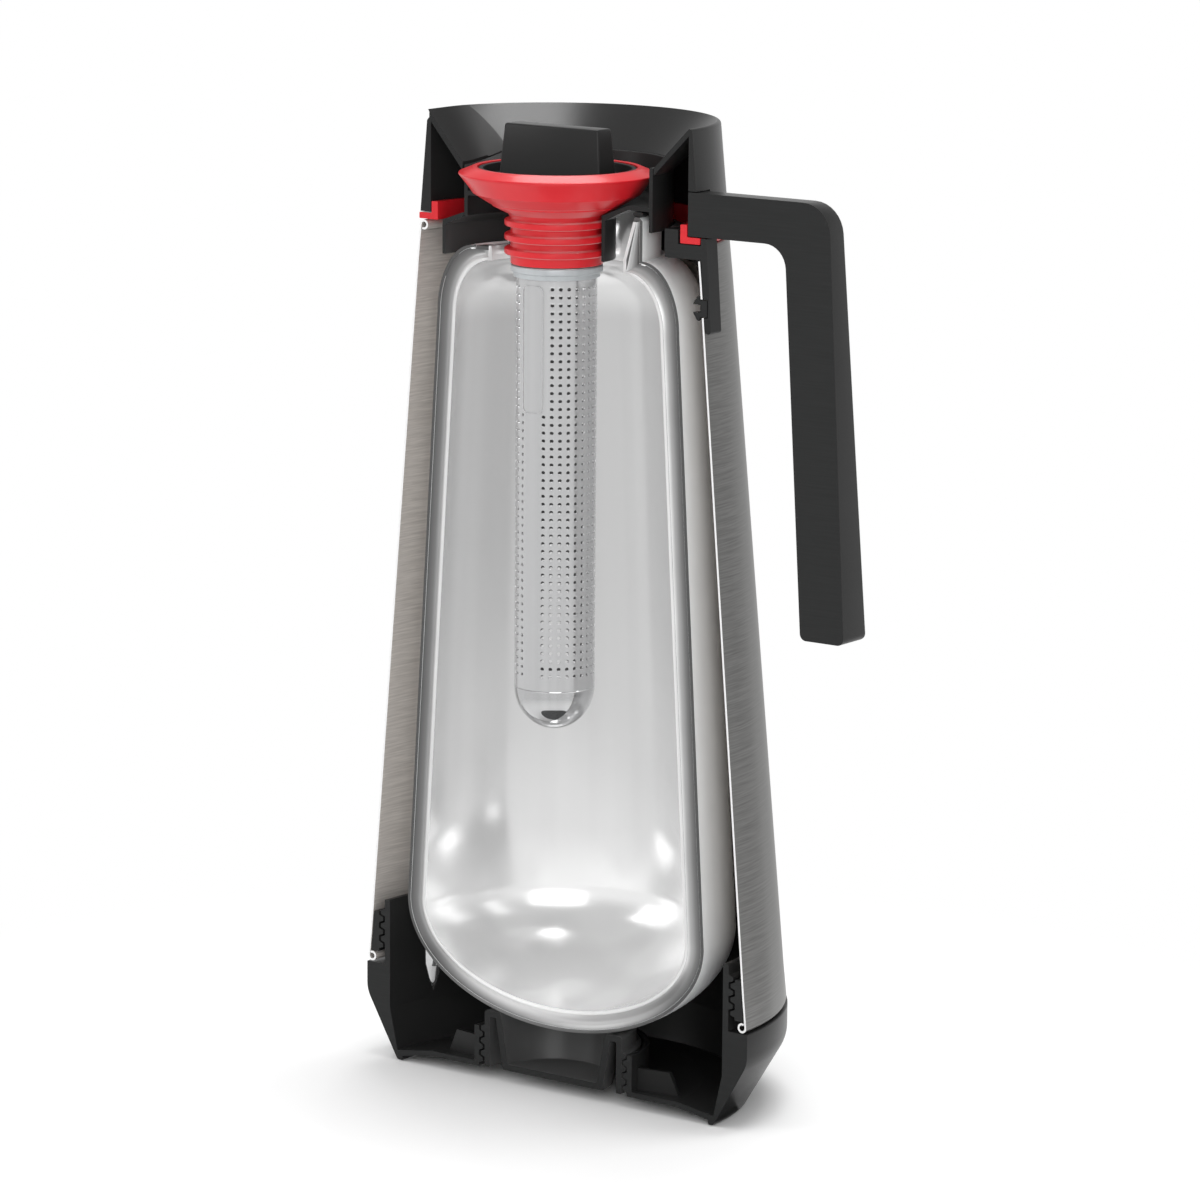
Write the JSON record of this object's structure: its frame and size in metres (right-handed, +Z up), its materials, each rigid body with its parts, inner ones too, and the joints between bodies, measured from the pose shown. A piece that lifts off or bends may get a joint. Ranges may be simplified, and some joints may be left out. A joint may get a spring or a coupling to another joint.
{
  "type": "thermal carafe",
  "caption": "Tapered steel vacuum carafe cut open along its axis, with a glass flask, black handle, red stopper seal and a tea infuser.",
  "frame": {"origin": "on the carafe's axis, at the level of the foot ring", "axes": "+Z up along the carafe's axis, +X towards the handle, +Y away from the cut face"},
  "size_m": [0.166, 0.096, 0.283],
  "materials": {
    "casing_steel": "brushed",
    "infuser_steel": "polished",
    "silvered_glass": "silvered",
    "black_plastic": "satin",
    "red_silicone": "satin"
  },
  "bodies": {
    "carafe": {"outer_casing": "casing_steel", "casing_thread_ring": "black_plastic", "flask_outer_bulb": "silvered_glass", "flask_inner_bulb": "silvered_glass", "neck_ring": "black_plastic", "collar_gasket": "red_silicone", "collar_shell": "black_plastic", "pour_insert": "black_plastic", "mouth_seal": "black_plastic", "handle": "black_plastic", "handle_bracket": "black_plastic", "handle_snap_pin": "black_plastic"},
    "base": {"base_shell": "black_plastic"},
    "support": {"flask_support_cup": "black_plastic"},
    "infuser": {"infuser_collar": "infuser_steel", "infuser_tube": "infuser_steel", "infuser_end_cap": "infuser_steel"},
    "stopper": {"stopper_seal": "red_silicone", "stopper_core": "black_plastic", "stopper_grip": "black_plastic"}
  },
  "joints": [
    {"name": "stopper_lift", "type": "slide", "parent": "carafe", "child": "infuser", "axis": [0, 0, 1], "range_m": [0, 0.18]},
    {"name": "stopper_turn", "type": "hinge", "parent": "infuser", "child": "stopper", "pos_m": [0, 0, 0.26], "axis": [0, 0, 1], "range_deg": [-90, 90]},
    {"name": "base_unscrew", "type": "hinge", "parent": "carafe", "child": "base", "pos_m": [0, 0, 0.03], "axis": [0, 0, -1], "range_deg": [0, 360]},
    {"name": "support_screw", "type": "hinge", "parent": "base", "child": "support", "pos_m": [0, 0, 0.01], "axis": [0, 0, 1], "range_deg": [0, 360]}
  ]
}
